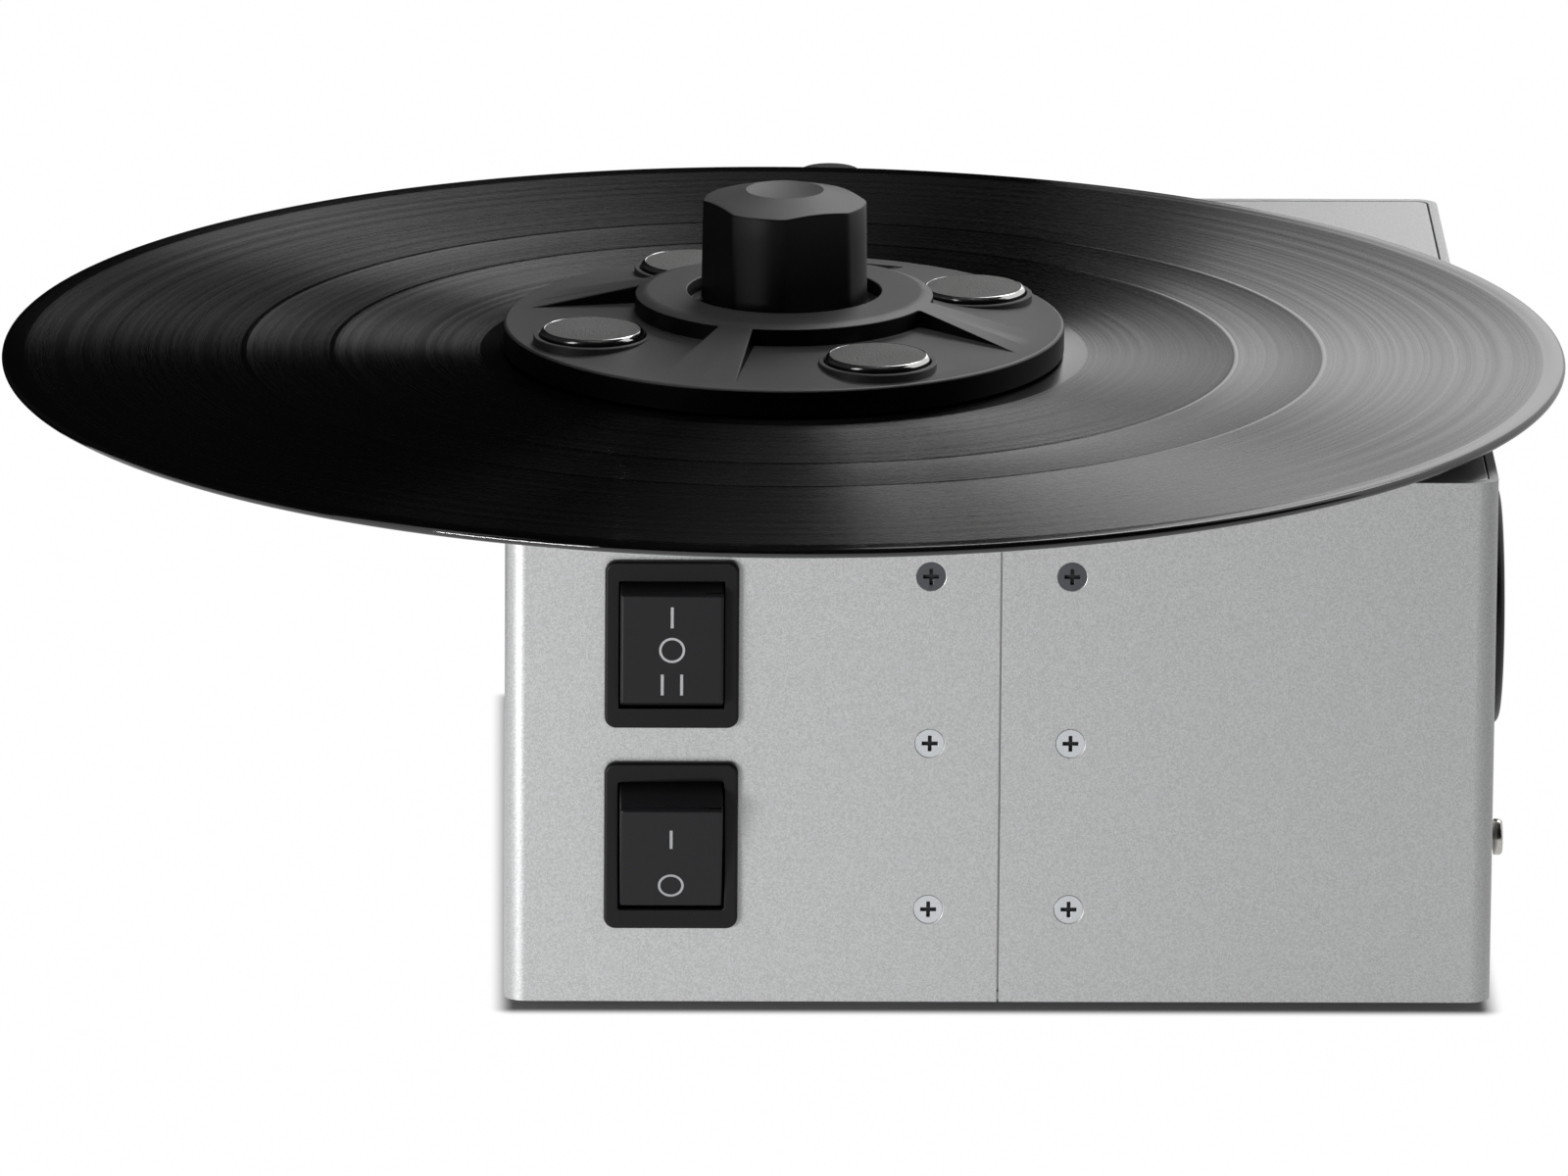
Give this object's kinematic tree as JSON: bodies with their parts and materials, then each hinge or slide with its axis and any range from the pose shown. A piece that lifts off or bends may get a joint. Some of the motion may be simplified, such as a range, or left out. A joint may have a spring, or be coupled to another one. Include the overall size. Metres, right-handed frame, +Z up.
{
  "type": "record cleaning machine",
  "caption": "Compact vacuum record cleaning machine: silver case, driven platter with a clamped record, rocker switches, fluid tank and vacuum unit inside.",
  "frame": {"origin": "centre of the whole outline seen from above, on the surface the feet stand on", "axes": "+Z up, the switches face -Y, the drain and exhaust cover are on the +X side"},
  "size_m": [0.301, 0.3156, 0.1409],
  "materials": {
    "silver_sheet": "fine bead-blasted silver sheet",
    "bright_plate": "fine silver coat",
    "zinc_steel": "zinc plated",
    "black_plastic": "fine moulded grain",
    "rocker_black": "satin moulded",
    "rubber_black": "matt",
    "vinyl": "glossy, grooved",
    "clamp_black": "satin black",
    "knob_black": "satin black",
    "weight_steel": "dark blasted face, bright edge",
    "steel": "turned",
    "brass": "turned",
    "alloy": "machined",
    "nylon": "moulded",
    "tank_plastic": "translucent moulded",
    "hose_rubber": "smooth",
    "board_green": "solder mask",
    "parts_dark": "moulded",
    "fuse_glass": "clear"
  },
  "bodies": {
    "case": {"left_housing": "silver_sheet", "right_housing": "silver_sheet", "top_plate": "bright_plate", "base_plate": "alloy", "front_seam_bracket": "alloy", "rear_seam_bracket": "alloy", "front_seam_screws": "zinc_steel", "rear_seam_screws": "zinc_steel", "base_screws": "zinc_steel", "corner_posts": "alloy", "feet": "rubber_black", "motor_switch_body": "black_plastic", "vacuum_switch_body": "black_plastic", "switch_terminals": "brass", "bearing_housing": "alloy", "spindle_bush": "brass", "gear_motor": "steel", "motor_plate": "zinc_steel", "motor_pillars": "zinc_steel", "arm_socket": "black_plastic", "fluid_tank": "tank_plastic", "tank_seal": "rubber_black", "tank_lid": "tank_plastic", "suction_hose": "hose_rubber", "vacuum_hose": "hose_rubber", "fan_housing": "black_plastic", "vacuum_motor": "steel", "motor_cradle": "rubber_black", "exhaust_seal": "rubber_black", "exhaust_cover": "black_plastic", "drain_fitting": "brass", "drain_nut": "brass", "drain_hose": "hose_rubber", "mains_inlet": "black_plastic", "inlet_blades": "brass", "power_board": "board_green", "board_standoffs": "brass", "board_components": "parts_dark"},
    "turntable": {"spindle": "steel", "platter": "alloy", "platter_mat": "rubber_black", "drive_gear": "nylon"},
    "record_body": {"record": "vinyl"},
    "clamp": {"clamp_disc": "clamp_black", "clamp_weights": "weight_steel", "clamp_seal": "rubber_black", "clamp_washer": "steel"},
    "knob": {"clamp_knob": "knob_black", "knob_insert": "brass"},
    "motor_shaft": {"motor_pinion": "steel"},
    "motor_key": {"motor_rocker": "rocker_black"},
    "vacuum_key": {"vacuum_rocker": "rocker_black"},
    "fan": {"impeller": "alloy"},
    "fuse_holder": {"fuse_drawer": "black_plastic", "fuse": "fuse_glass"},
    "cap": {"socket_cap": "rubber_black"}
  },
  "joints": [
    {"name": "platter_spin", "type": "hinge", "parent": "case", "child": "turntable", "pos_m": [0, -0.00735, 0.1], "axis": [0, 0, 1], "continuous": true},
    {"name": "pinion_spin", "type": "hinge", "parent": "case", "child": "motor_shaft", "pos_m": [0.01883, -0.03996, 0.074], "axis": [0, 0, 1], "continuous": true},
    {"name": "record_lift", "type": "slide", "parent": "turntable", "child": "record_body", "axis": [0, 0, 1], "range_m": [0, 0.02]},
    {"name": "clamp_lift", "type": "slide", "parent": "record_body", "child": "clamp", "axis": [0, 0, 1], "range_m": [0, 0.03]},
    {"name": "knob_turn", "type": "hinge", "parent": "clamp", "child": "knob", "pos_m": [0, -0.00735, 0.12], "axis": [0, 0, 1], "continuous": true},
    {"name": "motor_rocker_tilt", "type": "hinge", "parent": "case", "child": "motor_key", "pos_m": [-0.0221, -0.08635, 0.0724], "axis": [-1, 0, 0], "range_deg": [-16, 16]},
    {"name": "vacuum_rocker_tilt", "type": "hinge", "parent": "case", "child": "vacuum_key", "pos_m": [-0.0221, -0.08635, 0.03305], "axis": [-1, 0, 0], "range_deg": [0, 32]},
    {"name": "fan_spin", "type": "hinge", "parent": "case", "child": "fan", "pos_m": [0.08, 0.02415, 0.0504], "axis": [1, 0, 0], "continuous": true},
    {"name": "fuse_drawer_slide", "type": "slide", "parent": "case", "child": "fuse_holder", "axis": [0, 1, 0], "range_m": [0, 0.02]},
    {"name": "cap_lift", "type": "slide", "parent": "case", "child": "cap", "axis": [0, 0, 1], "range_m": [0, 0.02]}
  ],
  "couplings": [
    {"joint": "pinion_spin", "follows": "platter_spin", "ratio": -4}
  ]
}
